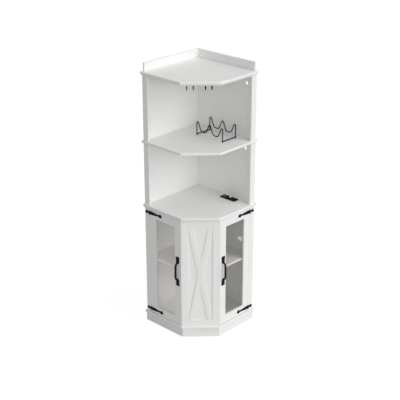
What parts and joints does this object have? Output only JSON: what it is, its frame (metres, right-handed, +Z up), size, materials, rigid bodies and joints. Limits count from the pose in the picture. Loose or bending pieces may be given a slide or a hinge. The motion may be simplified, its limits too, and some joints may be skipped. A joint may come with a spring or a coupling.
{
  "type": "corner bar cabinet",
  "caption": "Tall five-sided corner bar cabinet with glazed doors, a crossed centre panel, open shelves above, a wire wine rack and hanging glass rails.",
  "frame": {"origin": "centre of the bounding box's bottom face, at floor level", "axes": "+Z up. The two back walls of the cabinet stand along the planes of lowest X (left wall) and highest Y (right wall). The left door faces -Y, the right door faces +X and the centre panel faces the diagonal between them."},
  "size_m": [0.5396, 0.5396, 1.8],
  "materials": {
    "white_paint": "satin white paint on board",
    "black_iron": "matt black powder coat",
    "clear_glass": "clear, smooth",
    "zinc_plated_steel": "zinc plate",
    "black_plastic": "fine matt texture",
    "brown_plastic": "plain moulded"
  },
  "bodies": {
    "cabinet": {"base_panel": "white_paint", "counter_top": "white_paint", "middle_shelf": "white_paint", "top_panel": "white_paint", "counter_moulding": "white_paint", "top_moulding": "white_paint", "interior_shelf": "white_paint", "lower_left_wall": "white_paint", "lower_right_wall": "white_paint", "middle_left_wall": "white_paint", "middle_right_wall": "white_paint", "upper_left_wall": "white_paint", "upper_right_wall": "white_paint", "lower_left_post": "white_paint", "lower_right_post": "white_paint", "middle_left_post": "white_paint", "middle_right_post": "white_paint", "upper_left_post": "white_paint", "upper_right_post": "white_paint", "gallery_left_strip": "white_paint", "gallery_right_strip": "white_paint", "plinth_centre_board": "white_paint", "plinth_left_back_board": "white_paint", "plinth_left_front_board": "white_paint", "plinth_right_back_board": "white_paint", "plinth_right_front_board": "white_paint", "centre_panel_frame": "white_paint", "centre_panel_field": "white_paint", "centre_cross_brace": "white_paint", "left_upright": "white_paint", "right_upright": "white_paint", "left_upper_hinge_leaf": "black_iron", "left_lower_hinge_leaf": "black_iron", "right_upper_hinge_leaf": "black_iron", "right_lower_hinge_leaf": "black_iron", "left_stemware_rail": "black_iron", "right_stemware_rail": "black_iron", "shelf_pin_1": "zinc_plated_steel", "shelf_pin_2": "zinc_plated_steel", "shelf_pin_3": "zinc_plated_steel", "shelf_pin_4": "zinc_plated_steel", "power_outlet_housing": "black_plastic", "power_outlet_socket_plate": "black_plastic", "left_magnetic_catch": "brown_plastic", "right_magnetic_catch": "brown_plastic"},
    "left_door": {"left_door_frame": "white_paint", "left_door_glass": "clear_glass", "left_door_glazing_bead": "white_paint", "left_door_handle": "black_iron", "left_door_strike_plate": "zinc_plated_steel", "left_upper_hinge_strap": "black_iron", "left_lower_hinge_strap": "black_iron"},
    "right_door": {"right_door_frame": "white_paint", "right_door_glass": "clear_glass", "right_door_glazing_bead": "white_paint", "right_door_handle": "black_iron", "right_door_strike_plate": "zinc_plated_steel", "right_upper_hinge_strap": "black_iron", "right_lower_hinge_strap": "black_iron"},
    "wine_rack": {"wine_rack": "black_iron"}
  },
  "joints": [
    {"name": "left_door_hinge", "type": "hinge", "parent": "cabinet", "child": "left_door", "pos_m": [-0.21635, -0.2456, 0.45], "axis": [0, 0, -1], "range_deg": [0, 95]},
    {"name": "right_door_hinge", "type": "hinge", "parent": "cabinet", "child": "right_door", "pos_m": [0.2456, 0.21635, 0.45], "axis": [0, 0, 1], "range_deg": [0, 95]},
    {"name": "wine_rack_lift", "type": "slide", "parent": "cabinet", "child": "wine_rack", "axis": [0, 0, 1], "range_m": [0, 0.08]}
  ]
}
